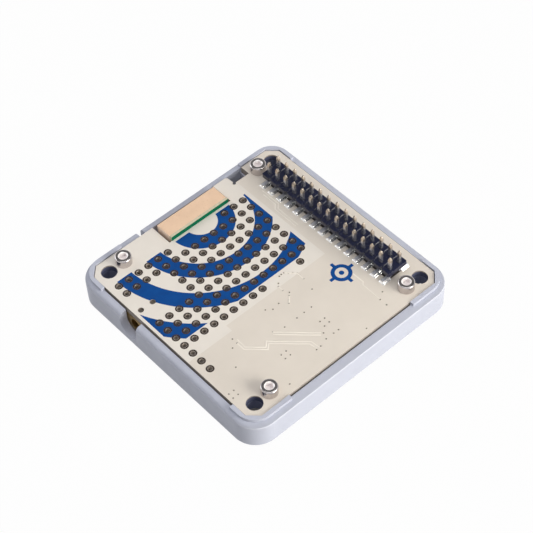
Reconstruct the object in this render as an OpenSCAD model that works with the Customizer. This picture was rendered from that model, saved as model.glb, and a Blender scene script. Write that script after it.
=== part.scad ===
// Stackable satellite-positioning module.
// A square circuit board sits in a shallow moulded frame. A two-row pin header stands on the
// board, and a matching socket hangs below it. A ceramic antenna stands on edge in a notch of
// the board, and a push-on aerial jack looks out through a slot in the frame's wall.
// Millimetres. The origin is the middle of the frame's underside. +Z is up, +X runs along the
// header, and +Y points to the board's header edge.

/* [Frame] */
// Outside width and depth of the frame
frame_w = 54.2; // [52:0.1:62]
// Height of the rim above the frame's underside
frame_h = 6.5; // [6:0.1:9]
// Outside corner radius
corner_r = 5.3; // [4.2:0.1:7]
// Thickness of the wall
wall_t = 1.7; // [1.4:0.1:2.2]
// Rounding of the rim's outer edge
rim_round = 1.2; // [0.3:0.1:1.3]
// Chamfer along the underside's outer edge
base_chamfer = 0.3; // [0.1:0.05:0.6]
// Height of the corner posts that carry the board
post_h = 2.45; // [1.8:0.05:3]
// Plastic round a screw's axis in a corner post, as a radius
boss_r = 2.4; // [2:0.1:2.8]
// Width of the pry slot in the wall beside the antenna
pry_w = 1.4; // [1:0.1:2.5]
// Depth of the pry slot below the rim
pry_depth = 3.3; // [2:0.1:4]
// Place of the pry slot along its wall
pry_y = -10.65; // [-14:0.05:-9.5]

/* [Corner lips] */
// Setback of the lips from the frame's outer face
lip_inset = 1; // [0.8:0.05:1.3]
// Height of the lips above the board
lip_rise = 0.3; // [0.1:0.05:0.8]
// Gap between a lip and the board's edge
lip_gap = 0.15; // [0.1:0.05:0.3]
// Reach of a lip along the header edge, from the frame's side
lip_len_x = 7.6; // [6.5:0.1:10]
// Reach of a lip along the antenna edge, from the frame's side
lip_len_y = 11; // [9:0.1:13]
// Room round a lip in the recess under the frame above
lip_fit = 0.15; // [0.05:0.05:0.3]

/* [Board] */
// Thickness of the circuit board
board_t = 1.6; // [1:0.1:2]
// Height of the board's top above the rim
board_proud = 0.45; // [0.2:0.05:0.8]
// Gap between the board's edge and the wall
board_gap = 0.35; // [0.2:0.05:0.5]
// Clearance of the board's cut corners from the wall's inner arc
corner_clear = 0.15; // [0.1:0.05:0.2]
// Distance of the stack bolts from the frame's outer faces
bolt_inset = 5.1; // [4.8:0.1:6]
// Diameter of the stack bolts' clearance holes
bolt_d = 3.4; // [3:0.1:3.6]
// Length of the small notch beside the antenna edge's screw
side_notch_w = 4.1; // [3:0.1:4.4]
// Depth of that notch from the board's edge
side_notch_d = 2.45; // [1.5:0.05:3]
// Rounding of that notch's outer corner
side_notch_round = 0.8; // [0.3:0.1:1.2]
// Radius of the milled relief in that notch's inner corner
relief_r = 0.35; // [0.2:0.05:0.5]

/* [Perforation] */
// Grid pitch of the perforation, the header and the socket
pitch = 2.54; // [2.2:0.01:2.8]
// Diameter of a perforation hole
perf_d = 1; // [0.8:0.05:1.2]
// Diameter of the solder pad that a perforation hole leaves room for
pad_d = 1.7; // [1.5:0.05:1.9]
// Web left between a pad and any edge
perf_web = 0.45; // [0.3:0.05:0.8]
// First column of the grid, counted from the board's centre
perf_first_col = -7; // [-8:1:-5]
// Last column of the grid
perf_last_col = 1; // [0:1:2]
// Last column of the grid's first row
perf_tail_col = 4; // [2:1:5]
// First row of the grid, counted from the board's centre
perf_first_row = -9; // [-9:1:-7]
// Last row of the grid
perf_last_row = 4; // [2:1:4]
// Width of the strip beside the antenna that is left solid for its feed
feed_zone_w = 2.7; // [2:0.1:4]
// Low end of the feed strip
feed_zone_y0 = -8.9; // [-10:0.1:-6]
// High end of the feed strip
feed_zone_y1 = 3.8; // [2:0.1:6]
// Left side of the solid area over the receiver's input circuit
input_zone_x = 1.5; // [0:0.1:3]
// Low end of that area
input_zone_y0 = -1.2; // [-3:0.1:0]
// High end of that area
input_zone_y1 = 6.3; // [4:0.1:7]
// Where the grid's last column ends
last_col_y = 8.9; // [6:0.1:12]

/* [Screws] */
// Diameter of a board screw's head
head_d = 3.5; // [3.2:0.1:4]
// Height of a board screw's head
head_h = 2; // [1.4:0.1:2.4]
// Rounding of a head's top edge
head_round = 0.3; // [0.1:0.05:0.5]
// Diameter of a board screw's shank
screw_d = 2; // [1.6:0.1:2.4]
// Length of a board screw under its head
screw_len = 4; // [3:0.1:4.05]
// Width across flats of the hexagon socket
hex_af = 1.5; // [1.3:0.1:2]
// Depth of the hexagon socket
hex_depth = 1; // [0.6:0.1:1.3]
// Diameter of the countersink round the hexagon
hex_sink_d = 2.1; // [2:0.05:2.3]
// Gap between a screw head and a bolt hole
head_gap = 0.35; // [0.1:0.05:0.5]
// Clearance of a screw in the board
screw_clear = 0.2; // [0.1:0.05:0.3]
// Clearance of a screw in its post
thread_clear = 0.05; // [0.02:0.01:0.1]

/* [Header] */
// Distance of the header's middle from the board's edge
header_inset = 6; // [5.4:0.1:7]
// Width of a square pin
pin_w = 0.64; // [0.5:0.02:0.7]
// Height of the pin tips above the board
pin_top = 5.85; // [4.5:0.05:8]
// Length of the taper at a pin's tip
pin_tip_h = 0.6; // [0.3:0.05:0.8]
// Width of the flat at a pin's tip
pin_tip_w = 0.3; // [0.2:0.02:0.4]
// Reach of a pin's foot from its row
pin_foot = 2.2; // [1.8:0.05:2.6]
// Height of the insulator's underside above the board
insulator_lift = 1.65; // [0.7:0.05:2]
// Height of the insulator
insulator_h = 1.05; // [0.8:0.05:2]
// Setback of the insulator's ends from the outline of its last cells
insulator_trim = 0.3; // [0:0.05:0.4]
// Chamfer where two cells of the insulator meet
cell_chamfer = 0.45; // [0.2:0.05:0.6]
// Depth of the groove across the insulator between two cells
cell_groove = 0.15; // [0.08:0.01:0.25]
// Clearance of a pin in the insulator
pin_fit = 0.03; // [0.02:0.01:0.08]
// Gap between the header's ends and the corner posts
end_gap = 0.3; // [0.1:0.05:0.8]

/* [Socket] */
// Height of the socket's mating face below the board
socket_h = 3.4; // [2.8:0.1:4.6]
// Gap between the socket's body and the board
socket_lift = 0.3; // [0.28:0.01:0.5]
// Width of a cavity in the socket
cavity_w = 1.5; // [1.3:0.05:1.6]
// Width of a pin's way into the socket
entry_w = 0.9; // [0.75:0.05:1.1]
// Thickness of the socket's face
socket_face_t = 0.6; // [0.4:0.05:0.8]
// Thickness of a contact's strip
contact_t = 0.15; // [0.1:0.01:0.2]
// Width of a contact's strip
contact_w = 0.9; // [0.6:0.05:1.1]
// Reach of a contact's foot from its row
contact_foot = 2.3; // [1.8:0.05:2.6]

/* [Antenna] */
// Length of the antenna's ceramic bar
ceramic_l = 15.3; // [12:0.1:16.5]
// Thickness of the ceramic bar
ceramic_t = 4; // [3:0.1:4.6]
// Height of the ceramic bar
ceramic_h = 6; // [5:0.1:7]
// Thickness of the antenna's carrier board
carrier_t = 0.6; // [0.4:0.05:1]
// Height of the antenna above the board
antenna_rise = 1.1; // [0.5:0.1:2]
// Gap between the ceramic bar and the frame's wall
antenna_wall_gap = 1.3; // [0.8:0.1:1.6]
// Gap between the antenna's ends and the notch
antenna_end_gap = 0.6; // [0.3:0.05:1]
// Diameter of the feed pin
feed_d = 0.9; // [0.6:0.05:1.2]
// Diameter of the feed pin's head
feed_head_d = 2.4; // [1.6:0.1:3]
// Thickness of the feed pin's head
feed_head_t = 0.3; // [0.2:0.05:0.5]
// Height of the feed pin above the ceramic bar's underside
feed_rise = 1.5; // [1.4:0.05:1.8]
// Length of the feed pin's tail past the carrier board
feed_tail = 0.8; // [0.4:0.05:1.2]
// Clearance of the feed pin in its bore
feed_clear = 0.05; // [0.02:0.01:0.1]

/* [Aerial jack] */
// Place of the jack along its wall
jack_x = -10.05; // [-12:0.05:-8]
// Width of the jack's front block
jack_w = 5.6; // [5:0.1:6.5]
// Height of the jack
jack_h = 3.6; // [3.4:0.1:4.2]
// Length of the jack
jack_l = 8.6; // [7:0.1:9]
// Length of the jack's wide front block
jack_front_l = 2.2; // [1.5:0.1:3]
// Setback of the jack's sides behind the front block
jack_step = 0.5; // [0.2:0.05:0.8]
// Gap between the jack's face and the wall
jack_gap = 0.25; // [0.15:0.05:0.5]
// Diameter of the jack's mouth
jack_bore_d = 2.9; // [2.4:0.1:3]
// Depth of the jack's mouth in front of its insulator
jack_bore_depth = 2.8; // [2:0.1:3.5]
// Diameter of the jack's inner contact
jack_pin_d = 0.9; // [0.6:0.05:1.1]
// Setback of the inner contact's tip behind the jack's face
jack_pin_set = 0.7; // [0.3:0.1:1.5]
// Length of the inner contact's tail behind the jack
jack_tail = 1; // [0.6:0.1:1.5]
// Diameter of a locating peg
peg_d = 1.05; // [0.8:0.05:1.2]
// Clearance of a locating peg in the board
peg_clear = 0.1; // [0.05:0.01:0.15]
// Setback of the first peg behind the jack's face
peg_set = 1.65; // [1.2:0.05:2]
// Distance between the two pegs
peg_step = 3; // [2.5:0.1:3.6]
// Depth of a peg's top below the board's top
peg_sunk = 0.4; // [0.1:0.05:0.8]
// Diameter of the plug that the slot's floor has to clear
plug_d = 3.8; // [3.4:0.1:4.2]
// Width of the jack's slot in the wall
slot_w = 5; // [4.2:0.1:6]

/* [Receiver] */
// Width of the receiver's carrier
receiver_w = 12.2; // [10:0.1:13]
// Length of the receiver's carrier
receiver_l = 16; // [13:0.1:18]
// Thickness of the receiver's carrier
receiver_t = 0.8; // [0.6:0.05:1.2]
// Distance of the receiver from the board's edge opposite the antenna
receiver_inset = 5.45; // [4:0.05:7]
// Place of the receiver's centre towards the header
receiver_y = -1; // [-2:0.1:2]
// Pitch of the edge contacts
castle_pitch = 1.1; // [0.9:0.05:1.5]
// Radius of an edge contact's half-round
castle_r = 0.3; // [0.2:0.05:0.4]
// Setback of the shield from the carrier's long edges
shield_inset = 1; // [0.6:0.1:1.5]
// Height of the shield
shield_h = 1.6; // [1.3:0.05:2.2]
// Thickness of the shield's sheet
shield_t = 0.2; // [0.1:0.02:0.3]
// Corner radius of the shield
shield_r = 0.7; // [0.4:0.1:1.2]
// Side of the receiver's chip
chip_w = 5; // [4:0.1:6]
// Height of the receiver's chip
chip_h = 0.85; // [0.6:0.05:1]
// Length of the receiver's oscillator
oscillator_l = 2.5; // [1.6:0.1:3.2]
// Width of the receiver's oscillator
oscillator_w = 2; // [1.2:0.1:2.5]
// Height of the receiver's oscillator
oscillator_h = 0.8; // [0.5:0.05:1]
// Length of the receiver's filter
filter_l = 1.4; // [1:0.1:2]
// Width of the receiver's filter
filter_w = 1.1; // [0.8:0.1:1.5]
// Height of the receiver's filter
filter_h = 0.5; // [0.3:0.05:0.8]
// Gap between the parts under the shield
shield_part_gap = 0.5; // [0.2:0.05:0.8]

/* [Small parts] */
// Distance between two rows of small parts
row_step = 2.4; // [2:0.1:3]
// Distance between two small parts in a row
part_step = 1.9; // [1.4:0.1:2.1]
// How many capacitors and how many resistors there are in their rows
row_n = 6; // [3:1:6]
// Length of a capacitor or resistor
passive_l = 1.6; // [1:0.1:1.8]
// Width of a capacitor or resistor
passive_w = 0.8; // [0.5:0.05:1]
// Height of a capacitor
capacitor_h = 0.8; // [0.5:0.05:1]
// Height of a resistor
resistor_h = 0.5; // [0.3:0.05:0.7]
// Height of the regulator
regulator_h = 1.1; // [0.8:0.05:1.4]
// Height of the antenna switch
switch_h = 0.9; // [0.6:0.05:1.1]
// Height of the bias inductor
inductor_h = 1.2; // [0.8:0.05:1.6]

/* [Hidden] */
$fn = 48;

// Overshoot of a cut past the face that it opens
cut = 1;

// Frame
half = frame_w / 2;
arc_c = half - corner_r;
inner_half = half - wall_t;
inner_r = corner_r - wall_t;
rim_r = min(rim_round, wall_t - 0.2);

// Board
board_half = inner_half - board_gap;
board_top = frame_h + board_proud;
board_bottom = board_top - board_t;
arc_reach = inner_r - board_gap;
board_chamfer = arc_reach - sqrt(pow(inner_r - corner_clear, 2) - pow(arc_reach, 2));
lip_top = board_top + lip_rise;
bolt_x = half - bolt_inset;
screw_y = bolt_x - bolt_d / 2 - head_gap - head_d / 2;
side_notch_y1 = screw_y - head_d / 2 - head_gap;
side_notch_y0 = side_notch_y1 - side_notch_w;

// Antenna
ceramic_x0 = -inner_half + antenna_wall_gap;
carrier_x0 = ceramic_x0 + ceramic_t;
notch_x = carrier_x0 + carrier_t;
notch_half = ceramic_l / 2 + antenna_end_gap;
antenna_z0 = board_top + antenna_rise - ceramic_h;
feed_z = antenna_z0 + feed_rise;

// Jack
jack_face_y = -inner_half + jack_gap;
jack_z = board_bottom - jack_h / 2;
slot_z = jack_z - plug_d / 2 + slot_w / 2;

// Header and socket
header_y = board_half - header_inset;
pin_n = floor(2 * (bolt_x - boss_r - end_gap) / pitch);
bend_r = pin_w;
insulator_l = pin_n * pitch - 2 * insulator_trim;

// Perforation
perf_edge = pad_d / 2 + perf_web;
notch_zone = [-half, -notch_half - perf_edge, notch_x + perf_edge, notch_half + perf_edge];
feed_zone = [-half, feed_zone_y0, notch_x + feed_zone_w, feed_zone_y1];
jack_zone_half = jack_w / 2 + pad_d / 2 + perf_web / 2;
jack_zone_y = jack_face_y + jack_l + jack_tail + pad_d;
jack_zone = [jack_x - jack_zone_half, -half, jack_x + jack_zone_half, jack_zone_y];
input_zone = [input_zone_x, input_zone_y0, half, input_zone_y1];
past_zone = [input_zone_x, last_col_y, half, half];
side_zone = [-half, side_notch_y0 - perf_edge, side_notch_d + perf_edge - board_half, half];
perf_zones = [notch_zone, feed_zone, jack_zone, input_zone, past_zone, side_zone];

// Receiver and small parts
receiver_x = board_half - receiver_inset - receiver_w / 2;
shield_w = receiver_w - 2 * shield_inset;
shield_l = receiver_l - 2 * shield_inset;
chip_y = shield_l / 2 - shield_inset - chip_w / 2;
oscillator_y = chip_y - chip_w / 2 - shield_part_gap - oscillator_w / 2;
filter_y = oscillator_y - oscillator_w / 2 - shield_part_gap - filter_w / 2;
row_x0 = receiver_x - receiver_w / 2 + passive_w;
row_y0 = receiver_y - receiver_l / 2 - row_step;

function inside(x, y, zone) = x > zone[0] && x < zone[2] && y > zone[1] && y < zone[3];
function in_a_zone(x, y) = len([for (zone = perf_zones) if (inside(x, y, zone)) 1]) > 0;
function on_board(x, y) = max(abs(x), abs(y)) < board_half - perf_edge;
function off_bolt(x, y) = norm([abs(x) - bolt_x, abs(y) - bolt_x]) > bolt_d / 2 + perf_edge;
function off_screw(x, y) = norm([abs(x) - bolt_x, abs(y) - screw_y]) > head_d / 2 + perf_edge;
function drilled(x, y) = on_board(x, y) && off_bolt(x, y) && off_screw(x, y) && !in_a_zone(x, y);
function last_col(row) = row == perf_first_row ? perf_tail_col : perf_last_col;
function pin_x(k) = (k - (pin_n - 1) / 2) * pitch;

module at_corners() {
    for (mx = [0, 1], my = [0, 1])
        mirror([mx, 0, 0]) mirror([0, my, 0]) children();
}

// Places a part with its own +Z pointing away from the board's underside
module under_board(x, y) {
    translate([x, y, board_bottom]) mirror([0, 0, 1]) children();
}

// Places a row's pin or contact at every column, with its own +Y pointing away from the other row
module at_pins(z) {
    for (k = [0 : pin_n - 1], side = [0, 1])
        translate([pin_x(k), header_y, z]) mirror([0, side, 0]) translate([0, pitch / 2, 0]) children();
}

module round_rect(w, l, r) {
    square([w, l - 2 * r], center = true);
    square([w - 2 * r, l], center = true);
    for (x = [r - w / 2, w / 2 - r], y = [r - l / 2, l / 2 - r])
        translate([x, y]) circle(r);
}

module box(w, l, h) {
    translate([-w / 2, -l / 2, 0]) cube([w, l, h]);
}

// The board's outline, moved outwards by grow
module board_outline(grow = 0) {
    h = board_half + grow;
    c = board_chamfer + grow * (2 - sqrt(2));
    polygon([
        [h, c - h], [h, h - c], [h - c, h], [c - h, h],
        [-h, h - c], [-h, c - h], [c - h, -h], [h - c, -h]
    ]);
}

// Cross-section of the wall, with x counted from the corner arc's axis
module wall_section() {
    polygon([
        [inner_r, 0], [corner_r - base_chamfer, 0], [corner_r, base_chamfer],
        [corner_r, frame_h - rim_r], [inner_r, frame_h - rim_r]
    ]);
    translate([inner_r, frame_h - rim_r]) square([wall_t - rim_r, rim_r]);
    translate([corner_r - rim_r, frame_h - rim_r]) intersection() {
        circle(rim_r);
        square(rim_r);
    }
}

module wall_ring() {
    for (turn = [0 : 90 : 270])
        rotate([0, 0, turn]) translate([arc_c, arc_c, 0]) {
            rotate_extrude(angle = 90) wall_section();
            rotate([90, 0, 0]) linear_extrude(2 * arc_c) wall_section();
        }
}

// Plan of a corner post, in the corner where x and y are positive
module post_plan() {
    intersection() {
        round_rect(2 * half - wall_t, 2 * half - wall_t, corner_r - wall_t / 2);
        union() {
            translate([bolt_x, screw_y]) circle(boss_r);
            translate([bolt_x - boss_r, screw_y]) square(half);
            translate([bolt_x, screw_y - boss_r]) square(half);
        }
    }
}

// Plan of a corner lip, or of the recess that takes one
module lip_plan(fit = 0) {
    lip_half = half - lip_inset + fit;
    intersection() {
        difference() {
            round_rect(2 * lip_half, 2 * lip_half, corner_r - lip_inset + fit);
            board_outline(lip_gap - fit);
        }
        translate([half - lip_len_x - fit, half - lip_len_y - fit]) square(half);
    }
}

module jack_slot() {
    translate([jack_x, cut - inner_half, slot_z]) rotate([90, 0, 0]) {
        cylinder(d = slot_w, h = wall_t + 2 * cut);
        translate([-slot_w / 2, 0, 0]) cube([slot_w, frame_h, wall_t + 2 * cut]);
    }
}

module pry_slot() {
    translate([-half - cut, pry_y - pry_w / 2, frame_h - pry_depth])
        cube([wall_t + 2 * cut, pry_w, pry_depth + cut]);
}

module housing_frame() {
    color([0.86, 0.86, 0.9]) difference() {
        union() {
            wall_ring();
            at_corners() {
                translate([0, 0, board_bottom - post_h]) linear_extrude(post_h) post_plan();
                translate([0, 0, board_bottom]) linear_extrude(lip_top - board_bottom) lip_plan();
            }
        }
        at_corners() {
            translate([bolt_x, bolt_x, -cut]) cylinder(d = bolt_d, h = lip_top);
            translate([bolt_x, screw_y, -cut]) cylinder(d = screw_d + 2 * thread_clear, h = lip_top);
            translate([0, 0, -cut]) linear_extrude(cut + lip_top - frame_h + lip_fit) lip_plan(lip_fit);
        }
        jack_slot();
        pry_slot();
    }
}

module side_notch() {
    translate([-half, side_notch_y0]) square([half - board_half + side_notch_d, side_notch_w]);
    translate([side_notch_d - board_half, side_notch_y0]) circle(relief_r);
    difference() {
        translate([-half, side_notch_y0 - side_notch_round])
            square([half - board_half + side_notch_round, side_notch_round + cut]);
        translate([side_notch_round - board_half, side_notch_y0 - side_notch_round])
            circle(side_notch_round);
    }
}

module perforation() {
    for (row = [perf_first_row : perf_last_row], col = [perf_first_col : last_col(row)])
        if (drilled(col * pitch, row * pitch))
            translate([col * pitch, row * pitch]) circle(d = perf_d);
}

module circuit_board() {
    color([0.87, 0.83, 0.77]) translate([0, 0, board_bottom]) linear_extrude(board_t) difference() {
        board_outline();
        translate([-half, -notch_half]) square([notch_x + half, 2 * notch_half]);
        side_notch();
        at_corners() {
            translate([bolt_x, bolt_x]) circle(d = bolt_d);
            translate([bolt_x, screw_y]) circle(d = screw_d + 2 * screw_clear);
        }
        for (k = [0, 1])
            translate([jack_x, jack_face_y + peg_set + k * peg_step]) circle(d = peg_d + 2 * peg_clear);
        perforation();
    }
}

// Half of a screw's profile, with the countersink of its hexagon
module screw_section() {
    top_r = head_d / 2 - head_round;
    shoulder = head_h - head_round;
    sink_h = hex_sink_d / 2 * tan(30);
    polygon([
        [0, -screw_len], [screw_d / 2, -screw_len], [screw_d / 2, 0], [head_d / 2, 0],
        [head_d / 2, shoulder], [top_r, shoulder], [top_r, head_h],
        [hex_sink_d / 2, head_h], [0, head_h - sink_h]
    ]);
    translate([top_r, shoulder]) intersection() {
        circle(head_round);
        square(head_round);
    }
}

module board_screw() {
    difference() {
        rotate_extrude() screw_section();
        translate([0, 0, head_h - hex_depth])
            cylinder(d = hex_af / cos(30), h = hex_depth + cut, $fn = 6);
    }
}

module board_screws() {
    color([0.78, 0.78, 0.78]) at_corners() translate([bolt_x, screw_y, board_top]) board_screw();
}

// One two-pin cell of the insulator, with cut outer corners
module cell_plan() {
    w = pitch / 2;
    c = cell_chamfer;
    polygon([
        [w, 2 * w - c], [w - c, 2 * w], [c - w, 2 * w], [-w, 2 * w - c],
        [-w, c - 2 * w], [c - w, -2 * w], [w - c, -2 * w], [w, c - 2 * w]
    ]);
}

module header_insulator() {
    hole = pin_w + 2 * pin_fit;
    z = board_top + insulator_lift;
    color([0.16, 0.17, 0.24]) difference() {
        translate([0, 0, z]) linear_extrude(insulator_h) difference() {
            intersection() {
                for (k = [0 : pin_n - 1])
                    translate([pin_x(k), header_y]) cell_plan();
                translate([0, header_y]) square([insulator_l, 3 * pitch], center = true);
            }
            for (k = [0 : pin_n - 1], side = [-1, 1])
                translate([pin_x(k), header_y + side * pitch / 2]) square(hole, center = true);
        }
        for (k = [1 : pin_n - 1])
            translate([pin_x(k) - pitch / 2, header_y, z + insulator_h]) rotate([0, 45, 0])
                cube([cell_groove * sqrt(2), 3 * pitch, cell_groove * sqrt(2)], center = true);
    }
}

// Side view of a bent pin: x away from the other row, y up
module pin_side() {
    w = pin_w / 2;
    polygon([
        [-w, bend_r], [w, bend_r], [w, pin_top - pin_tip_h],
        [pin_tip_w / 2, pin_top], [-pin_tip_w / 2, pin_top], [-w, pin_top - pin_tip_h]
    ]);
    translate([w, 0]) square([pin_foot - w, pin_w]);
    translate([w, bend_r]) intersection() {
        circle(bend_r);
        translate([-bend_r, -bend_r]) square(bend_r);
    }
}

// Front view of a bent pin
module pin_front() {
    w = pin_w / 2;
    polygon([
        [-w, 0], [w, 0], [w, pin_top - pin_tip_h],
        [pin_tip_w / 2, pin_top], [-pin_tip_w / 2, pin_top], [-w, pin_top - pin_tip_h]
    ]);
}

module bent_pin() {
    intersection() {
        translate([-pin_w / 2, 0, 0]) rotate([90, 0, 90]) linear_extrude(pin_w) pin_side();
        translate([0, 2 * pin_foot, 0]) rotate([90, 0, 0]) linear_extrude(4 * pin_foot) pin_front();
    }
}

module header_pins() {
    color([0.8, 0.74, 0.62]) at_pins(board_top) bent_pin();
}

module socket_body() {
    body_h = socket_h - socket_lift;
    color([0.14, 0.15, 0.2]) difference() {
        translate([-pin_n * pitch / 2, header_y - pitch, board_bottom - socket_h])
            cube([pin_n * pitch, 2 * pitch, body_h]);
        at_pins(board_bottom - socket_h) {
            translate([0, 0, -cut]) box(entry_w, entry_w, socket_h);
            translate([0, 0, socket_face_t]) box(cavity_w, cavity_w, socket_h);
        }
    }
}

// Side view of a socket contact: x away from the other row, y down from the board
module contact_side() {
    gap = pin_w / 2;
    bar_t = socket_lift - 0.05;
    leaf_l = socket_h - socket_face_t - 0.2;
    translate([-gap - contact_t, 0]) square([contact_foot + gap + contact_t, bar_t]);
    for (x = [-gap - contact_t, gap])
        translate([x, 0]) square([contact_t, leaf_l]);
}

module socket_contacts() {
    color([0.8, 0.72, 0.5]) at_pins(board_bottom) translate([contact_w / 2, 0, 0])
        mirror([0, 0, 1]) rotate([90, 0, 90]) mirror([0, 0, 1]) linear_extrude(contact_w) contact_side();
}

module feed_bore() {
    translate([ceramic_x0 - cut, 0, feed_z]) rotate([0, 90, 0])
        cylinder(d = feed_d + 2 * feed_clear, h = ceramic_t + carrier_t + 2 * cut);
}

module antenna_ceramic() {
    color([0.89, 0.77, 0.65]) difference() {
        translate([ceramic_x0, -ceramic_l / 2, antenna_z0]) cube([ceramic_t, ceramic_l, ceramic_h]);
        feed_bore();
    }
}

module antenna_carrier() {
    color([0.08, 0.5, 0.32]) difference() {
        translate([carrier_x0, -ceramic_l / 2, antenna_z0]) cube([carrier_t, ceramic_l, ceramic_h]);
        feed_bore();
    }
}

module antenna_feed_pin() {
    color([0.8, 0.78, 0.72]) translate([ceramic_x0 - feed_head_t, 0, feed_z]) rotate([0, 90, 0]) {
        cylinder(d = feed_head_d, h = feed_head_t);
        cylinder(d = feed_d, h = feed_head_t + ceramic_t + carrier_t + feed_tail);
    }
}

// Places a round piece of the jack along its axis, counted from the jack's face
module on_jack_axis(setback) {
    translate([jack_x, jack_face_y + setback, jack_z]) rotate([-90, 0, 0]) children();
}

module jack_body() {
    side_w = jack_w - 2 * jack_step;
    color([0.62, 0.52, 0.34]) difference() {
        union() {
            translate([jack_x - jack_w / 2, jack_face_y, board_bottom - jack_h])
                cube([jack_w, jack_front_l, jack_h]);
            translate([jack_x - side_w / 2, jack_face_y, board_bottom - jack_h])
                cube([side_w, jack_l, jack_h]);
            for (k = [0, 1])
                translate([jack_x, jack_face_y + peg_set + k * peg_step, board_bottom - jack_h / 4])
                    cylinder(d = peg_d, h = jack_h / 4 + board_t - peg_sunk);
        }
        on_jack_axis(-cut) cylinder(d = jack_bore_d, h = jack_l + 2 * cut);
    }
}

module jack_insulator() {
    color([0.93, 0.92, 0.88]) difference() {
        on_jack_axis(jack_bore_depth) cylinder(d = jack_bore_d, h = jack_l - jack_bore_depth);
        on_jack_axis(0) cylinder(d = jack_pin_d, h = jack_l + cut);
    }
}

module jack_contact() {
    tail_z = board_bottom - jack_z;
    color([0.85, 0.72, 0.42]) difference() {
        union() {
            on_jack_axis(jack_pin_set) cylinder(d = jack_pin_d, h = jack_l + jack_tail - jack_pin_set);
            translate([jack_x - jack_pin_d / 2, jack_face_y + jack_l + jack_tail / 2, jack_z])
                cube([jack_pin_d, jack_tail / 2, tail_z]);
        }
        on_jack_axis(jack_pin_set - cut) cylinder(d = jack_pin_d / 2, h = cut + jack_bore_depth);
    }
}

module receiver_carrier() {
    castle_n = floor((receiver_l - 2 * castle_pitch) / castle_pitch);
    color([0.1, 0.3, 0.24]) under_board(receiver_x, receiver_y) linear_extrude(receiver_t) difference() {
        square([receiver_w, receiver_l], center = true);
        for (k = [0 : castle_n], x = [-receiver_w / 2, receiver_w / 2])
            translate([x, (k - castle_n / 2) * castle_pitch]) circle(castle_r);
    }
}

module receiver_shield() {
    color([0.78, 0.79, 0.8]) under_board(receiver_x, receiver_y) translate([0, 0, receiver_t])
        difference() {
            linear_extrude(shield_h) round_rect(shield_w, shield_l, shield_r);
            translate([0, 0, -cut]) linear_extrude(shield_h + cut - shield_t)
                round_rect(shield_w - 2 * shield_t, shield_l - 2 * shield_t, shield_r - shield_t);
        }
}

// Places a part on the receiver's carrier, inside the shield
module on_receiver(x, y) {
    under_board(receiver_x + x, receiver_y + y) translate([0, 0, receiver_t]) children();
}

module receiver_chip() {
    color([0.15, 0.15, 0.16]) on_receiver(0, chip_y) box(chip_w, chip_w, chip_h);
}

module receiver_oscillator() {
    color([0.75, 0.74, 0.7]) on_receiver(0, oscillator_y) box(oscillator_l, oscillator_w, oscillator_h);
}

module receiver_filter() {
    color([0.85, 0.82, 0.72]) on_receiver(0, filter_y) box(filter_l, filter_w, filter_h);
}

// A moulded package with gull-wing leads along two sides
module leaded_chip(w, l, h, lead_n) {
    lead_w = 0.4;
    lead_t = 0.15;
    step = w / lead_n;
    translate([0, 0, lead_t]) box(w, l, h - lead_t);
    for (k = [0 : lead_n - 1], side = [0, 1])
        mirror([0, side, 0]) translate([(k - (lead_n - 1) / 2) * step, 0, 0]) {
            translate([0, l / 2 + 0.3, 0]) box(lead_w, 1, lead_t);
            translate([0, l / 2 + 0.1, 0]) box(lead_w, 0.4, h / 2);
        }
}

// A two-terminal part with plated ends
module passive(h) {
    cap_l = passive_l / 5;
    skin = passive_w / 20;
    box(passive_w - 2 * skin, passive_l - cap_l, h - skin);
    for (side = [0, 1])
        mirror([0, side, 0]) translate([0, passive_l / 2 - cap_l / 2, 0]) box(passive_w, cap_l, h);
}

module passive_row(row, h) {
    for (k = [0 : row_n - 1])
        under_board(row_x0 + k * part_step, row_y0 - row * row_step) passive(h);
}

module antenna_switch() {
    color([0.16, 0.16, 0.17]) under_board(receiver_x - receiver_w / 2 - row_step, receiver_y)
        leaded_chip(2, 1.25, switch_h, 3);
}

module voltage_regulator() {
    color([0.16, 0.16, 0.17]) under_board(row_x0 + part_step, row_y0)
        leaded_chip(2.9, 1.6, regulator_h, 3);
}

module bias_inductor() {
    color([0.3, 0.29, 0.28]) under_board(row_x0 + 4 * part_step, row_y0) box(2.5, 2, inductor_h);
}

module capacitors() {
    color([0.72, 0.6, 0.45]) passive_row(1.4, capacitor_h);
}

module resistors() {
    color([0.2, 0.2, 0.21]) passive_row(2.4, resistor_h);
}

housing_frame();
circuit_board();
board_screws();
header_insulator();
header_pins();
socket_body();
socket_contacts();
antenna_ceramic();
antenna_carrier();
antenna_feed_pin();
jack_body();
jack_insulator();
jack_contact();
receiver_carrier();
receiver_shield();
receiver_chip();
receiver_oscillator();
receiver_filter();
antenna_switch();
voltage_regulator();
bias_inductor();
capacitors();
resistors();
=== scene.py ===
import math

import bpy
from mathutils import Matrix, Vector


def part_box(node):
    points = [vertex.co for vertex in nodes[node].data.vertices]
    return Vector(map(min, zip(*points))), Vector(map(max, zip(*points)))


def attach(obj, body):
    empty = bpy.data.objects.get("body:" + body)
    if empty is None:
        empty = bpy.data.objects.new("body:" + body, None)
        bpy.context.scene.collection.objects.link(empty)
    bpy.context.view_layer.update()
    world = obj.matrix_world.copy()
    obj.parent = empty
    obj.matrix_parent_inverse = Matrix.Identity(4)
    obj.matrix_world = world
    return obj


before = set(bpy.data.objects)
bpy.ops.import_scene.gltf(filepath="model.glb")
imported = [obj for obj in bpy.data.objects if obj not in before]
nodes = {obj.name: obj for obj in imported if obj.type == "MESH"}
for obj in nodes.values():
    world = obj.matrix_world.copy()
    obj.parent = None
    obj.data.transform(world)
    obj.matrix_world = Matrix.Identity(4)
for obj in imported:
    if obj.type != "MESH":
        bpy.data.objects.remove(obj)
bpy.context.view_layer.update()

MM = 0.001


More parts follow.
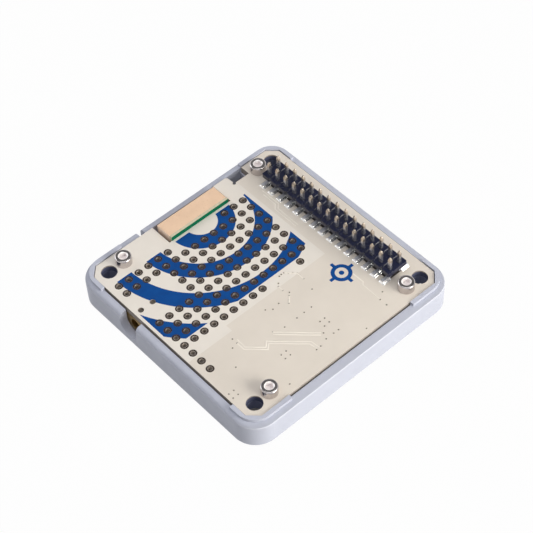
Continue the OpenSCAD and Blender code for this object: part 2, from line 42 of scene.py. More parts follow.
def box_mm(node):
    """A node's lowest and highest corners in millimetres."""
    low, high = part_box(node)
    return low / MM, high / MM


def linear(rgb):
    """An sRGB colour, 0 to 255, as the linear RGBA that a shader takes."""
    out = []
    for value in rgb:
        c = value / 255
        out.append(c / 12.92 if c <= 0.04045 else ((c + 0.055) / 1.055) ** 2.4)
    return (*out, 1.0)


# Places and sizes in the part, in millimetres
board_low, board_high = box_mm("circuit_board")
BOARD_TOP = board_high.z
BOARD_BOTTOM = board_low.z
FRAME_TOP = box_mm("housing_frame")[1].z
PIN_TOP = box_mm("header_pins")[1].z
body_low, body_high = box_mm("header_insulator")
HEADER_Y = (body_low.y + body_high.y) / 2
PITCH = (body_high.y - body_low.y) / 2
PIN_COUNT = round((body_high.x - body_low.x) / PITCH)
PIN_X = [(k - (PIN_COUNT - 1) / 2) * PITCH for k in range(PIN_COUNT)]
ROWS_Y = [(HEADER_Y + side * PITCH / 2, side) for side in (-1, 1)]
BOLT = 22.0
BOLT_R = 1.7
HEAD_R = 1.75
SOCKET_R = 1.0
HOLE_R = 0.5
PAD_R = 0.88
CASTLE_PITCH = 1.1
# Slack between a face and the limit of its colour
MARGIN = 0.05
# How far an added piece reaches into the board
SINK = 0.02


class Tree:
    """Short ways to make and join the nodes of a node tree."""

    def __init__(self, tree):
        self.tree = tree

    def node(self, kind, **settings):
        made = self.tree.nodes.new(kind)
        for key, value in settings.items():
            setattr(made, key, value)
        return made

    def put(self, socket, value):
        if isinstance(value, bpy.types.NodeSocket):
            self.tree.links.new(value, socket)
        else:
            socket.default_value = value

    def math(self, operation, a, b=0.0):
        made = self.node("ShaderNodeMath", operation=operation)
        self.put(made.inputs[0], a)
        self.put(made.inputs[1], b)
        return made.outputs[0]

    def split(self, vector):
        made = self.node("ShaderNodeSeparateXYZ")
        self.put(made.inputs[0], vector)
        return made.outputs

    def blend(self, share, a, b):
        """A number that goes from a to b."""
        made = self.node("ShaderNodeMix")
        self.put(made.inputs[0], share)
        self.put(made.inputs[2], a)
        self.put(made.inputs[3], b)
        return made.outputs[0]

    def span(self, value, low, high, out_low, out_high):
        made = self.node("ShaderNodeMapRange")
        self.put(made.inputs["Value"], value)
        for key, number in zip(
            ("From Min", "From Max", "To Min", "To Max"), (low, high, out_low, out_high)
        ):
            made.inputs[key].default_value = number
        return made.outputs["Result"]


class Shader(Tree):
    """A material. Positions in it are in millimetres."""

    def __init__(self, name, rough=0.5, metal=0.0, specular=0.5):
        self.material = bpy.data.materials.new(name)
        self.material.use_nodes = True
        super().__init__(self.material.node_tree)
        self.bsdf = self.tree.nodes["Principled BSDF"]
        self.bsdf.inputs["Roughness"].default_value = rough
        self.bsdf.inputs["Metallic"].default_value = metal
        self.bsdf.inputs["Specular IOR Level"].default_value = specular
        scaled = self.node("ShaderNodeVectorMath", operation="SCALE")
        self.put(scaled.inputs[0], self.node("ShaderNodeTexCoord").outputs["Object"])
        scaled.inputs["Scale"].default_value = 1 / MM
        self.place = scaled.outputs[0]
        self.xyz = self.split(self.place)
        self.facing = self.split(self.node("ShaderNodeNewGeometry").outputs["Normal"])

    def length(self, dx, dy):
        squares = self.math("ADD", self.math("MULTIPLY", dx, dx), self.math("MULTIPLY", dy, dy))
        return self.math("SQRT", squares)

    def in_bolt_hole(self):
        """Whether the place is in one of the four stack bolts' holes."""
        away = [self.math("SUBTRACT", self.math("ABSOLUTE", self.xyz[k]), BOLT) for k in (0, 1)]
        return self.under(self.length(*away), BOLT_R + MARGIN)

    def distance(self, x, y):
        """Distance in plan from a point."""
        return self.length(
            self.math("SUBTRACT", self.xyz[0], x), self.math("SUBTRACT", self.xyz[1], y)
        )

    def over(self, value, limit):
        return self.math("GREATER_THAN", value, limit)

    def under(self, value, limit):
        return self.math("LESS_THAN", value, limit)

    def between(self, value, low, high):
        return self.both(self.over(value, low), self.under(value, high))

    def both(self, a, b):
        return self.math("MULTIPLY", a, b)

    def either(self, a, b):
        return self.math("MAXIMUM", a, b)

    def mix(self, share, a, b):
        """A colour that goes from a to b."""
        made = self.node("ShaderNodeMix", data_type="RGBA")
        self.put(made.inputs[0], share)
        self.put(made.inputs[6], a)
        self.put(made.inputs[7], b)
        return made.outputs[2]

    def noise(self, per_mm, detail=3.0, stretch=None):
        made = self.node("ShaderNodeTexNoise")
        made.inputs["Scale"].default_value = per_mm
        made.inputs["Detail"].default_value = detail
        place = self.place
        if stretch is not None:
            spread = self.node("ShaderNodeVectorMath", operation="MULTIPLY")
            self.put(spread.inputs[0], self.place)
            spread.inputs[1].default_value = stretch
            place = spread.outputs[0]
        self.put(made.inputs["Vector"], place)
        return made.outputs["Fac"]

    def mottle(self, dark, light, per_mm=0.6, detail=4.0):
        """A colour that drifts between two close ones."""
        share = self.span(self.noise(per_mm, detail), 0.3, 0.7, 0.0, 1.0)
        return self.mix(share, linear(dark), linear(light))

    def colour(self, value):
        self.put(self.bsdf.inputs["Base Color"], value)

    def upright(self, share):
        """The surface's normal, turned to vertical by a share."""
        lean = self.math("SUBTRACT", 1.0, share)
        joined = self.node("ShaderNodeCombineXYZ")
        self.put(joined.inputs[0], self.both(self.facing[0], lean))
        self.put(joined.inputs[1], self.both(self.facing[1], lean))
        self.put(joined.inputs[2], self.facing[2])
        unit = self.node("ShaderNodeVectorMath", operation="NORMALIZE")
        self.put(unit.inputs[0], joined.outputs[0])
        return unit.outputs[0]

    def roughness(self, low, high, per_mm=1.5):
        self.put(
            self.bsdf.inputs["Roughness"], self.span(self.noise(per_mm), 0.3, 0.7, low, high)
        )

    def bump(self, height, depth_mm, strength=1.0, facing=None):
        made = self.node("ShaderNodeBump")
        if facing is not None:
            self.put(made.inputs["Normal"], facing)
        made.inputs["Strength"].default_value = strength
        made.inputs["Distance"].default_value = depth_mm * MM
        self.put(made.inputs["Height"], height)
        self.put(self.bsdf.inputs["Normal"], made.outputs["Normal"])


def plastic(name, dark, light, grain_per_mm, grain_mm, rough):
    s = Shader(name)
    s.colour(s.mottle(dark, light, 0.25))
    s.roughness(rough - 0.06, rough + 0.06)
    s.bump(s.noise(grain_per_mm, 4.0), grain_mm, 0.5)
    return s.material


def metal(name, dark, light, rough, grain_mm=0.004, stretch=None, share=1.0):
    s = Shader(name, metal=share)
    s.colour(s.mottle(dark, light, 1.2))
    s.roughness(rough - 0.06, rough + 0.08, 2.5)
    s.bump(s.noise(5.0, 3.0, stretch), grain_mm, 0.4)
    return s.material


def frame_paint():
    """Pale grey moulded plastic. The rim takes the light like a flat face, with a painted highlight
    along its outer edge and painted shade in the bolt holes.
    """
    s = Shader("frame_plastic")
    rim_depth = 2.1
    flat_share = 0.88
    rise = s.facing[2]
    upper = s.over(s.xyz[2], FRAME_TOP - rim_depth)
    # Painted highlight: a lighter band along the rim's outer edge, where it turns down.
    painted_edge_highlight = s.both(s.span(rise, 0.05, 0.2, 0.0, 1.0), s.span(rise, 0.3, 0.5, 1.0, 0.0))
    body = s.mottle((181, 184, 199), (186, 189, 204), 0.25)
    body = s.mix(s.both(upper, painted_edge_highlight), body, s.mottle((188, 190, 203), (194, 196, 209), 0.8))
    # Painted shade: the frame inside the bolt holes is painted a darker blue-grey.
    s.colour(s.mix(s.in_bolt_hole(), body, linear((124, 130, 158))))
    s.roughness(0.42, 0.54)
    rim = s.both(upper, s.span(rise, 0.2, 0.42, 0.0, flat_share))
    s.bump(s.noise(3.0, 4.0), 0.012, 0.5, s.upright(rim))
    return s.material


def printed_area(s):
    """Blue print: ripples that spread from the antenna over the perforation, and a sighting ring."""
    x, y = s.xyz[0], s.xyz[1]
    source_x, source_y = -19.5, 0.0
    first, step, width, count = 3.6, 7.6, 3.7, 4
    reach = s.distance(source_x, source_y)
    beat = s.math("MODULO", s.math("SUBTRACT", reach, first), step)
    ripples = s.both(s.under(beat, width), s.between(reach, first, first + count * step))
    field = s.both(s.between(x, -18.9, 1.5), s.between(y, -24.4, 11.6))
    ring_x, ring_y = 10.4, 11.6
    dot_r, ring_inner, ring_outer = 0.55, 1.35, 2.2
    tick_inner, tick_outer, tick_half_w = 1.8, 3.1, 0.36
    ring_reach = s.distance(ring_x, ring_y)
    dx = s.math("ABSOLUTE", s.math("SUBTRACT", x, ring_x))
    dy = s.math("ABSOLUTE", s.math("SUBTRACT", y, ring_y))
    on_axis = s.under(s.math("MINIMUM", dx, dy), tick_half_w)
    ticks = s.both(on_axis, s.between(ring_reach, tick_inner, tick_outer))
    ring = s.either(s.between(ring_reach, ring_inner, ring_outer), ticks)
    ring = s.either(ring, s.under(ring_reach, dot_r))
    return s.either(s.both(ripples, field), ring)


def poured_area(s):
    """Part of the board with copper under the mask, which makes it lighter."""
    x, y = s.xyz[0], s.xyz[1]
    step_y, end_y = -13.8, 12.6
    upper_x, lower_x = 4.5, 6.2
    upper = s.both(s.under(x, upper_x), s.over(y, step_y))
    lower = s.both(s.under(x, lower_x), s.under(y, step_y))
    return s.both(s.either(upper, lower), s.under(y, end_y))


def painted_shadow_area(s):
    """Strip of the board under the header, where a shadow is painted dark."""
    inset = 0.5
    half_w = 0.8 * PITCH
    along = s.between(s.xyz[0], body_low.x + inset, body_high.x - inset)
    return s.both(along, s.between(s.xyz[1], HEADER_Y - half_w, HEADER_Y + half_w))


def board_paint(name, printed):
    """Cream solder mask and a bare cut edge, with the blue print and a painted shadow under the header
    if it is the board's own. The laminate down in the bolt holes is painted dark, as painted shade.
    """
    s = Shader(name, rough=0.4, specular=0.2)
    mask = s.mottle((214, 205, 195), (219, 210, 200), 0.15)
    if printed:
        mask = s.mix(poured_area(s), mask, s.mottle((222, 215, 207), (227, 220, 212), 0.2))
        top = s.over(s.facing[2], 0.5)
        ink = s.mottle((0, 64, 132), (0, 72, 144), 0.5)
        mask = s.mix(s.both(top, printed_area(s)), mask, ink)
        # Painted shadow: the board under the header is painted dark.
        dark = s.mottle((62, 58, 58), (78, 72, 70), 1.0)
        mask = s.mix(s.both(top, painted_shadow_area(s)), mask, dark)
    edge = s.under(s.math("ABSOLUTE", s.facing[2]), 0.5)
    laminate = s.mottle((146, 137, 131), (164, 155, 148), 2.0)
    # Painted shade: the laminate in the bolt holes is painted dark blue-grey below a pale top band.
    pale_depth = 0.35
    bolt_hole_shade = s.both(s.in_bolt_hole(), s.under(s.xyz[2], BOARD_TOP - pale_depth))
    laminate = s.mix(bolt_hole_shade, laminate, linear((86, 90, 116)))
    s.colour(s.mix(edge, mask, laminate))
    s.put(s.bsdf.inputs["Roughness"], s.span(edge, 0, 1, 0.42, 0.8))
    s.bump(s.noise(0.9, 4.0), 0.012, 0.5)
    return s.material


def carrier_paint():
    """Green solder mask on the two faces, pale bare laminate along the cut edges."""
    s = Shader("carrier_laminate", rough=0.35, specular=0.05)
    face = s.over(s.math("ABSOLUTE", s.facing[0]), 0.5)
    green = s.mottle((0, 88, 62), (0, 98, 70), 0.6)
    bare = s.mottle((196, 186, 160), (212, 202, 178), 1.5)
    s.colour(s.mix(face, bare, green))
    s.put(s.bsdf.inputs["Roughness"], s.span(face, 0, 1, 0.7, 0.4))
    s.bump(s.noise(2.0), 0.006, 0.4)
    return s.material


def ceramic_paint():
    """Fired ceramic with darker specks. The end towards -Y is painted paler, as painted light."""
    s = Shader("antenna_ceramic", rough=0.62)
    body = s.mottle((225, 191, 162), (233, 200, 171), 0.35)
    # Painted light: the face towards -Y is painted paler than the rest of the ceramic.
    cut = s.under(s.facing[1], -0.7)
    body = s.mix(cut, body, s.mottle((246, 218, 196), (252, 226, 204), 0.8))
    specks = s.span(s.noise(3.2, 2.0), 0.62, 0.72, 0.0, 0.45)
    s.colour(s.mix(specks, body, linear((206, 164, 130))))
    s.roughness(0.55, 0.7)
    s.bump(s.noise(6.0, 4.0), 0.01, 0.5)
    return s.material


def pin_paint():
    """Bright drawn plating, a little warmer at the tips and duller on the feet."""
    s = Shader("pin_plating", metal=1.0)
    shaft = s.mottle((180, 181, 190), (198, 198, 204), 1.5)
    tip_from, tip_full, foot_h = 1.6, 0.9, 0.9
    tip = s.span(s.xyz[2], PIN_TOP - tip_from, PIN_TOP - tip_full, 0.0, 1.0)
    s.colour(s.mix(tip, shaft, linear((204, 190, 174))))
    foot = s.under(s.xyz[2], BOARD_TOP + foot_h)
    s.put(s.bsdf.inputs["Metallic"], s.span(foot, 0, 1, 0.85, 0.5))
    s.put(s.bsdf.inputs["Roughness"], s.span(foot, 0, 1, 0.24, 0.4))
    s.bump(s.noise(5.0, 3.0, (1, 1, 0.2)), 0.003, 0.4)
    return s.material


def screw_paint():
    """Turned steel. The hex socket is painted near-white and less metallic, as a painted reflection."""
    high = box_mm("board_screws")[1]
    s = Shader("screw_steel", metal=1.0)
    away = [
        s.math("SUBTRACT", s.math("ABSOLUTE", s.xyz[k]), high[k] - HEAD_R) for k in (0, 1)
    ]
    below_top = 0.02
    inside = s.between(s.xyz[2], BOARD_TOP, high.z - below_top)
    socket = s.both(s.under(s.length(*away), SOCKET_R), inside)
    steel = s.mottle((196, 190, 190), (214, 208, 208), 1.2)
    # Painted reflection: the socket is painted near-white.
    s.colour(s.mix(socket, steel, linear((250, 244, 244))))
    s.put(s.bsdf.inputs["Metallic"], s.span(socket, 0, 1, 1.0, 0.2))
    s.roughness(0.14, 0.24, 2.5)
    s.bump(s.noise(5.0), 0.003, 0.4)
    return s.material


def jack_paint():
    """Brushed brass, tinned on the pegs inside the board."""
    s = Shader("jack_brass", metal=1.0)
    peg = s.over(s.xyz[2], BOARD_BOTTOM + MARGIN)
    brass = s.mottle((168, 140, 86), (188, 160, 104), 1.2)
    s.colour(s.mix(peg, brass, linear((172, 164, 154))))
    s.roughness(0.28, 0.42, 2.5)
    s.bump(s.noise(5.0, 3.0, (1, 0.15, 1)), 0.006, 0.4)
    return s.material


def receiver_paint():
    """Dark green laminate with gold edge contacts."""
    low, high = box_mm("receiver_carrier")
    s = Shader("receiver_laminate", rough=0.38)
    from_middle = s.math("ABSOLUTE", s.math("SUBTRACT", s.xyz[0], (low.x + high.x) / 2))
    contact_l, contact_gap = 0.75, 0.2
    side = s.over(from_middle, (high.x - low.x) / 2 - contact_l)
    half_step = CASTLE_PITCH / 2
    along = s.math("SUBTRACT", s.xyz[1], (low.y + high.y) / 2 + half_step)
    pads = s.both(side, s.over(s.math("PINGPONG", along, half_step), contact_gap))
    mask = s.mottle((18, 74, 56), (24, 86, 64), 0.6)
    s.colour(s.mix(pads, mask, linear((214, 178, 104))))
    s.put(s.bsdf.inputs["Metallic"], pads)
    s.bump(s.noise(1.6), 0.008, 0.4)
    return s.material


def capped_paint(node, name, dark, light):
    """A row of two-terminal parts: their own colour in the middle and tinned ends."""
    low, high = box_mm(node)
    s = Shader(name)
    from_middle = s.math("ABSOLUTE", s.math("SUBTRACT", s.xyz[1], (low.y + high.y) / 2))
    middle_share = 0.6
    ends = s.over(from_middle, (high.y - low.y) / 2 * middle_share)
    s.colour(s.mix(ends, s.mottle(dark, light, 1.5), linear((206, 206, 204))))
    s.put(s.bsdf.inputs["Metallic"], ends)
    s.roughness(0.32, 0.46, 3.0)
    s.bump(s.noise(4.0), 0.006, 0.4)
    return s.material


def chip_paint():
    """Black epoxy with tinned leads close to the board."""
    s = Shader("chip_epoxy")
    lead_h = 0.14
    lead = s.over(s.xyz[2], BOARD_BOTTOM - lead_h)
    s.colour(s.mix(lead, s.mottle((36, 36, 38), (46, 46, 49), 1.0), linear((200, 200, 198))))
    s.put(s.bsdf.inputs["Metallic"], lead)
    s.roughness(0.5, 0.66, 3.0)
    s.bump(s.noise(7.0, 4.0), 0.008, 0.5)
    return s.material


def pad_paint():
    """Tin on the pads, painted dark brown as a painted dark reflection, and painted brighter down in
    the plated holes as a painted highlight.
    """
    s = Shader("pad_tin", metal=0.5)
    middle = (BOARD_TOP + BOARD_BOTTOM) / 2
    from_middle = s.math("ABSOLUTE", s.math("SUBTRACT", s.xyz[2], middle))
    barrel = s.under(from_middle, BOARD_TOP - middle - MARGIN)
    # Painted reflection: the tin is painted dark brown, and the barrel brighter as a painted highlight.
    tin_painted_dark = s.mottle((58, 47, 42), (76, 62, 55), 1.2)
    s.colour(s.mix(barrel, tin_painted_dark, linear((176, 164, 154))))
    s.roughness(0.22, 0.36, 2.5)
    s.bump(s.noise(5.0), 0.012, 0.4)
    return s.material


materials = {
    "housing_frame": frame_paint(),
    "circuit_board": board_paint("board_laminate", True),
    "header_insulator": plastic("header_plastic", (22, 26, 51), (29, 33, 59), 4.0, 0.006, 0.24),
    "header_pins": pin_paint(),
    "board_screws": screw_paint(),
    "socket_body": plastic("socket_plastic", (26, 26, 30), (33, 33, 38), 4.0, 0.01, 0.48),
    "socket_contacts": metal("contact_plating", (212, 180, 112), (228, 198, 132), 0.26),
    "antenna_ceramic": ceramic_paint(),
    "antenna_carrier": carrier_paint(),
    "antenna_feed_pin": metal("feed_plating", (204, 202, 196), (220, 218, 212), 0.3),
    "jack_body": jack_paint(),
    "jack_insulator": plastic("jack_dielectric", (232, 229, 220), (240, 237, 229), 3.0, 0.006, 0.5),
    "receiver_carrier": receiver_paint(),
    "receiver_shield": metal("shield_tin", (196, 196, 196), (214, 214, 213), 0.36, 0.008,
                             (0.15, 1, 1)),
    "receiver_chip": plastic("receiver_chip_epoxy", (34, 34, 36), (44, 44, 47), 6.0, 0.008, 0.55),
    "receiver_oscillator": metal("oscillator_lid", (190, 186, 174), (208, 204, 192), 0.34),
    "receiver_filter": plastic("filter_ceramic", (222, 210, 182), (232, 222, 196), 4.0, 0.006, 0.5),
    "antenna_switch": chip_paint(),
    "bias_inductor": plastic("inductor_ferrite", (58, 55, 52), (74, 70, 66), 5.0, 0.02, 0.66),
    "capacitors": capped_paint("capacitors", "capacitor_ceramic", (164, 126, 88), (182, 144, 104)),
    "resistors": capped_paint("resistors", "resistor_ceramic", (30, 30, 32), (42, 42, 45)),
}
materials["voltage_regulator"] = materials["antenna_switch"]
materials["jack_contact"] = materials["socket_contacts"]

for name, obj in nodes.items():
    obj.data.materials.clear()
    obj.data.materials.append(materials[name])

solder = metal("solder", (236, 236, 236), (248, 248, 247), 0.22, 0.02, share=0.85)
pad_tin = pad_paint()
mask_plain = board_paint("board_mask_relief", False)
track_paint = plastic("track_mask", (228, 220, 210), (234, 226, 216), 2.0, 0.006, 0.42)
# Painted shade: a dark disc stands for the shade down each via's hole.
via_shade_paint = plastic("via_hole", (96, 88, 80), (116, 106, 96), 6.0, 0.004, 0.6)


def soften(node, width_mm):
    """Joins a node's split corners and rounds its sharp edges a little."""
    weld = nodes[node].modifiers.new("weld", "WELD")
    weld.merge_threshold = 0.001 * MM
    bevel = nodes[node].modifiers.new("bevel", "BEVEL")
    bevel.width = width_mm * MM
    bevel.segments = 2
    bevel.limit_method = "ANGLE"
    bevel.angle_limit = math.radians(40)
    bevel.harden_normals = True


for name, width_mm in (
    ("antenna_ceramic", 0.08), ("antenna_carrier", 0.03), ("header_insulator", 0.06),
    ("header_pins", 0.05), ("socket_body", 0.06), ("bias_inductor", 0.12),
):
    soften(name, width_mm)


class Piece:
    """Vertices and faces of one new piece, in millimetres."""

    def __init__(self):
        self.verts = []
        self.faces = []

    def skin(self, rings, closed):
        """Joins rings of equal length in turn, and the last to the first if closed."""
        start = len(self.verts)
        count = len(rings[0])
        for ring in rings:
            self.verts.extend(ring)
        for r in range(len(rings) if closed else len(rings) - 1):
            a = start + r * count
            b = start + (r + 1) % len(rings) * count
            for i in range(count):
                j = (i + 1) % count
                self.faces.append((a + i, a + j, b + j, b + i))
        return start, count

    def loft(self, rings):
        """Joins rings in turn, and closes the first and the last."""
        start, count = self.skin(rings, False)
        last = start + (len(rings) - 1) * count
        self.faces.append(tuple(start + i for i in reversed(range(count))))
        self.faces.append(tuple(last + i for i in range(count)))

    def strip(self, path, z, width, height):
        """A low raised track along a line, with sloped sides."""
        rings = []
        for k, point in enumerate(path):
            here = Vector(point)
            before = (here - Vector(path[k - 1])).normalized() if k else None
            after = (Vector(path[k + 1]) - here).normalized() if k < len(path) - 1 else None
            along = ((before or after) + (after or before)).normalized()
            side = Vector((-along.y, along.x))
            share = 1 / max(0.5, side.dot(Vector((-(after or before).y, (after or before).x))))
            wide = side * share * width / 2
            slim = wide * 0.6
            rings.append([
                (*(here - wide), z), (*(here - slim), z + height),
                (*(here + slim), z + height), (*(here + wide), z),
            ])
        self.loft(rings)

    def build(self, name, material, smooth=None):
        mesh = bpy.data.meshes.new(name)
        mesh.from_pydata([Vector(v) * MM for v in self.verts], [], self.faces)
        mesh.validate()
        mesh.update()
        if smooth is not None:
            mesh.shade_smooth()
            mesh.set_sharp_from_angle(angle=math.radians(smooth))
        obj = bpy.data.objects.new(name, mesh)
        bpy.context.scene.collection.objects.link(obj)
        mesh.materials.append(material)
        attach(obj, "root")
        return obj


def circle(x, y, z, r, count=20):
    return [
        (x + r * math.cos(2 * math.pi * i / count), y + r * math.sin(2 * math.pi * i / count), z)
        for i in range(count)
    ]


def rounded(x, y, half_x, half_y, r, z, steps=3):
    """A rectangle with rounded corners, counter-clockwise from above."""
    points = []
    for k, (sx, sy) in enumerate(((1, 1), (-1, 1), (-1, -1), (1, -1))):
        for i in range(steps + 1):
            turn = math.pi / 2 * (k + i / steps)
            points.append((
                x + sx * (half_x - r) + r * math.cos(turn),
                y + sy * (half_y - r) + r * math.sin(turn), z,
            ))
    return points


def perforation():
    """Centres of the perforation, on the header's pitch."""
    first_row, last_row = -9, 4
    first_col, last_col, long_row_last_col = -7, 1, 4
    places = []
    for row in range(first_row, last_row + 1):
        end = long_row_last_col if row == first_row else last_col
        for col in range(first_col, end + 1):
            feed = col == first_col and -3 <= row <= 1
            jack = -5 <= col <= -3 and row <= -6
            inlet = col == last_col and row in (0, 1, 2, 4)
            if not (feed or jack or inlet):
                places.append((col * PITCH, row * PITCH))
    return places


# Plated holes: a tinned pad on both sides of the board, joined by a thin barrel
barrel_inner = HOLE_R - 0.04
barrel_outer = HOLE_R + 0.01
barrel_depth = 0.14
upper_half = [
    (PAD_R, -SINK), (PAD_R - 0.03, 0.02), (PAD_R - 0.13, 0.045), (HOLE_R + 0.08, 0.03),
    (HOLE_R, -SINK), (barrel_inner, -barrel_depth),
]
pad_section = [(r, BOARD_TOP + rise) for r, rise in upper_half]
pad_section += [(r, BOARD_BOTTOM - rise) for r, rise in reversed(upper_half)]
pad_section += [(barrel_outer, BOARD_BOTTOM + SINK), (barrel_outer, BOARD_TOP - SINK)]
pads = Piece()
for x, y in perforation():
    pads.skin([circle(x, y, z, r) for r, z in pad_section], True)
pads.build("perforation_pads", pad_tin, 50)

# Vias: a low ring of solder mask round a small dark disc, which stands for the hole as painted shade
VIAS = [
    (2.5, 3.3), (2.4, 2.6), (2.5, 2.0), (3.15, 3.85), (3.7, 4.5), (4.4, 5.1), (5.0, 5.1), (6.3, 5.1),
    (3.7, 0.65), (4.35, 0.1), (5.6, 0.05), (6.9, 0.7), (7.5, 0.05), (8.2, -0.6), (8.85, -1.2),
    (9.4, 4.5), (12.6, 1.35), (12.6, -0.6), (12.65, -2.55), (12.65, -5.8), (16.4, 1.35),
    (17.7, 1.35), (16.4, 0.1), (17.8, 0.0), (20.3, 1.35), (20.3, 0.1), (18.9, -1.3), (20.3, -1.9),
    (7.5, -2.7), (7.8, -4.5), (6.9, -5.7), (20.85, -3.85), (20.9, -5.0), (11.95, -8.25),
    (17.1, -9.5), (18.35, -9.5), (17.15, -10.8), (18.35, -10.8), (7.8, -15.1), (9.15, -15.1),
    (9.45, -16.5), (13.3, -19.05), (23.3, -14.2), (17.1, -22.9), (18.35, -22.9), (17.1, -24.15),
    (18.35, -24.15), (23.85, 5.5), (19.5, 14.1), (20.6, 12.4), (22.4, 12.4),
]
via_section = [(0.33, -SINK), (0.28, 0.018), (0.18, 0.018), (0.15, -SINK)]
via_hole_r = 0.165
via_hole_h = 0.006
via_rings = Piece()
via_holes = Piece()
for x, y in VIAS:
    via_rings.skin([circle(x, y, BOARD_TOP + rise, r, 16) for r, rise in via_section], True)
    via_holes.loft([
        circle(x, y, BOARD_TOP + rise, via_hole_r, 12) for rise in (-SINK, via_hole_h)
    ])
via_rings.build("via_rings", mask_plain, 40)
via_holes.build("via_holes", via_shade_paint)

# Tracks that show through the solder mask
TRACKS = [
    [(11.9, -8.3), (18.5, -1.6)],
    [(12.4, -8.6), (18.9, -2.0)],
    [(20.8, -4.2), (18.8, -4.4), (12.7, -10.6), (13.7, -11.7), (10.9, -14.6), (8.5, -14.5)],
    [(20.8, -4.8), (19.0, -5.0), (13.4, -10.7), (14.4, -11.8), (11.2, -15.1), (9.2, -15.1)],
    [(-17.0, 14.9), (-12.0, 14.9), (-11.0, 13.9), (-5.0, 13.9)],
    [(-16.0, 14.3), (-12.3, 14.3), (-11.3, 13.3), (-5.0, 13.3)],
    [(12.2, 13.1), (15.0, 13.1), (15.6, 12.5), (20.4, 12.4)],
    [(2.5, 3.3), (4.4, 5.1), (6.3, 5.1)],
    [(4.35, 0.1), (5.6, 0.05)],
    [(7.5, 0.05), (8.85, -1.2)],
]
track_w = 0.3
track_h = 0.045
track_sink = 0.01
tracks = Piece()
for path in TRACKS:
    tracks.strip(path, BOARD_TOP - track_sink, track_w, track_h)
tracks.build("board_tracks", track_paint, 50)


def foot_joint(piece, x, y, turn, z, up):
    """Solder that climbs a flat foot. turn is the way the foot points along Y, up the way it climbs."""
    near, reach, half_w = 0.25, 2.45, 0.82
    shape = (
        (0.0, half_w, reach, 0.2), (0.05, half_w - 0.02, reach - 0.02, 0.2),
        (0.14, half_w * 0.78, reach - 0.1, 0.2), (0.3, half_w * 0.55, reach - 0.18, 0.16),
        (0.46, half_w * 0.44, reach - 0.25, 0.12),
    )
    rings = []
    for rise, half, far, r in shape:
        middle = y + turn * (near + far) / 2
        rings.append(rounded(x, middle, half, (far - near) / 2, r, z + up * rise)[::up])
    piece.loft(rings)


header_joints = Piece()
socket_joints = Piece()
for x in PIN_X:
    for row_y, side in ROWS_Y:
        foot_joint(header_joints, x, row_y, side, BOARD_TOP, 1)
        foot_joint(socket_joints, x, row_y, side, BOARD_BOTTOM, -1)
header_joints.build("header_solder", solder, 50)
socket_joints.build("socket_solder", solder, 50)


def end_joint(piece, x, y, out_x, out_y, half_w, climb):
    """Solder that climbs the end of a part under the board. It spreads towards out_x, out_y."""
    rings = []
    for rise, spread, half in ((0, 0.55, 1), (0.08, 0.42, 0.9), (0.45, 0.16, 0.7), (1, 0.06, 0.5)):
        reach = spread / 2
        half_x = reach if out_x else half * half_w
        half_y = reach if out_y else half * half_w
        ring = rounded(x + out_x * reach, y + out_y * reach, half_x, half_y, min(half_x, half_y) / 2,
                       BOARD_BOTTOM - rise * climb)
        rings.append(ring[::-1])
    piece.loft(rings)


part_joints = Piece()
castle_half_w = 0.36
castle_climb = 0.6
low, high = box_mm("receiver_carrier")
castles = math.floor((high.y - low.y - 2 * CASTLE_PITCH) / CASTLE_PITCH)
for k in range(castles + 1):
    y = (low.y + high.y) / 2 + (k - castles / 2) * CASTLE_PITCH
    end_joint(part_joints, high.x, y, 1, 0, castle_half_w, castle_climb)
    end_joint(part_joints, low.x, y, -1, 0, castle_half_w, castle_climb)
row_parts = 6
row_half_w = 0.4
for name, climb in (("capacitors", 0.5), ("resistors", 0.35)):
    low, high = box_mm(name)
    for k in range(row_parts):
        x = low.x + row_half_w + (high.x - low.x - 2 * row_half_w) * k / (row_parts - 1)
        end_joint(part_joints, x, high.y, 0, 1, row_half_w, climb)
        end_joint(part_joints, x, low.y, 0, -1, row_half_w, climb)
part_joints.build("part_solder", solder, 50)

# Studio floor: white to the eye, and a pale matt floor for the light. Under the part it is plain
# and has a window that lets the room's light up to the underside. The window is closed under the
# bolt holes and the side notch, so that they stay dark from above.
FLOOR_DROP = 0.05 * MM
FLOOR_GLOW = 0.98
WINDOW_HALF = 25 * MM
WINDOW_LOW_X = -17 * MM
BOLT_PATCH_HALF = 2.6 * MM
floor_mesh = bpy.data.meshes.new("floor")
floor_mesh.from_pydata([(-3, -3, 0), (3, -3, 0), (3, 3, 0), (-3, 3, 0)], [], [(0, 1, 2, 3)])
floor = bpy.data.objects.new("floor", floor_mesh)
floor.location.z = -FLOOR_DROP
bpy.context.scene.collection.objects.link(floor)
paint = bpy.data.materials.new("floor_paint")
paint.use_nodes = True
paint.node_tree.nodes.clear()
f = Tree(paint.node_tree)
rays = f.node("ShaderNodeLightPath").outputs
seen = f.math("MAXIMUM", rays["Is Camera Ray"], rays["Is Glossy Ray"])
seen = f.math("MAXIMUM", seen, rays["Is Transmission Ray"])
floor_place = f.split(f.node("ShaderNodeTexCoord").outputs["Object"])
across = [f.math("ABSOLUTE", floor_place[k]) for k in (0, 1)]
outside = f.math("GREATER_THAN", f.math("MAXIMUM", *across), WINDOW_HALF)
bolt_away = [f.math("ABSOLUTE", f.math("SUBTRACT", d, BOLT * MM)) for d in across]
bolt_near = f.math("LESS_THAN", f.math("MAXIMUM", *bolt_away), BOLT_PATCH_HALF)
closed = f.math("MAXIMUM", outside, bolt_near)
closed = f.math("MAXIMUM", closed, f.math("LESS_THAN", floor_place[0], WINDOW_LOW_X))
glow = f.math("MULTIPLY", f.math("MULTIPLY", seen, outside), FLOOR_GLOW)
diffuse = f.node("ShaderNodeBsdfDiffuse")
diffuse.inputs["Color"].default_value = linear((168, 168, 168))
white = f.node("ShaderNodeEmission")
white.inputs["Color"].default_value = (1, 1, 1, 1)
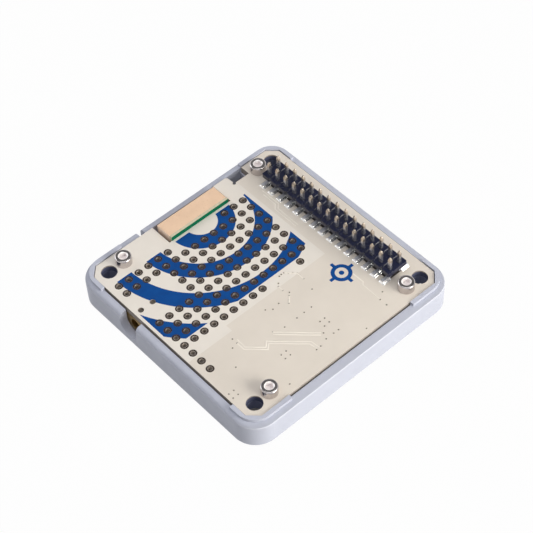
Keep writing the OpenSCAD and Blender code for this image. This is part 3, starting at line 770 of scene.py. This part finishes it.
lit = f.node("ShaderNodeMixShader")
f.put(lit.inputs[0], glow)
f.put(lit.inputs[1], diffuse.outputs[0])
f.put(lit.inputs[2], white.outputs[0])
through = f.math("MULTIPLY", f.math("SUBTRACT", 1.0, seen), f.math("SUBTRACT", 1.0, closed))
one_way = f.node("ShaderNodeMixShader")
f.put(one_way.inputs[0], f.math(
    "MAXIMUM", f.node("ShaderNodeNewGeometry").outputs["Backfacing"], through
))
f.put(one_way.inputs[1], lit.outputs[0])
f.put(one_way.inputs[2], f.node("ShaderNodeBsdfTransparent").outputs[0])
f.put(f.node("ShaderNodeOutputMaterial").inputs[0], one_way.outputs[0])
floor_mesh.materials.append(paint)

# Room: white to the eye, dim for diffuse light, and a dark ceiling in reflections
ROOM_LEVEL = 0.42
HORIZON_LEVEL = 1.0
CEILING_LEVEL = 0.14
world = bpy.data.worlds.new("studio")
bpy.context.scene.world = world
world.use_nodes = True
world.node_tree.nodes.clear()
w = Tree(world.node_tree)
rays = w.node("ShaderNodeLightPath").outputs
height = w.split(w.node("ShaderNodeTexCoord").outputs["Generated"])[2]
mirrored = w.span(height, 0.3, 0.7, HORIZON_LEVEL, CEILING_LEVEL)
level = w.blend(rays["Is Glossy Ray"], ROOM_LEVEL, mirrored)
level = w.blend(w.math("MAXIMUM", rays["Is Camera Ray"], rays["Is Transmission Ray"]), level, 1.0)
sky = w.node("ShaderNodeBackground")
sky.inputs["Color"].default_value = (1, 1, 1, 1)
w.put(sky.inputs["Strength"], level)
w.put(w.node("ShaderNodeOutputWorld").inputs[0], sky.outputs[0])


def area_light(name, place, size, watts, tint=(1, 1, 1)):
    """A square soft light, in metres, aimed at the part."""
    data = bpy.data.lights.new(name, "AREA")
    data.size = size
    data.energy = watts
    data.color = tint
    obj = bpy.data.objects.new(name, data)
    bpy.context.scene.collection.objects.link(obj)
    obj.location = place
    target = Vector((0, 0, 0.005))
    aim = target - Vector(place)
    obj.rotation_euler = aim.to_track_quat("-Z", "Y").to_euler()


area_light("key", (0.395, 0.125, 0.13), 0.30, 2.45, (1.0, 0.98, 0.9))
area_light("top", (0.04, -0.01, 0.5), 0.42, 0.66)
area_light("fill", (-0.4, -0.15, 0.25), 0.3, 0.5, (0.94, 0.97, 1.0))

# The photograph's viewpoint
camera_data = bpy.data.cameras.new("camera")
camera_data.sensor_width = 36
camera_data.lens = 110.88
camera_data.clip_start = 0.01
camera_data.clip_end = 20
camera = bpy.data.objects.new("camera", camera_data)
bpy.context.scene.collection.objects.link(camera)
right = Vector((0.66794031, 0.74320714, -0.03871546))
down = Vector((0.55881058, -0.53521671, -0.63346176))
ahead = Vector((-0.49151447, 0.40148004, -0.77280483))
pose = Matrix((right, -down, -ahead)).transposed().to_4x4()
pose.translation = Vector((160.83, -130.48, 261.65)) * MM
camera.matrix_world = pose
bpy.context.scene.camera = camera
bpy.context.scene.view_settings.view_transform = "Standard"
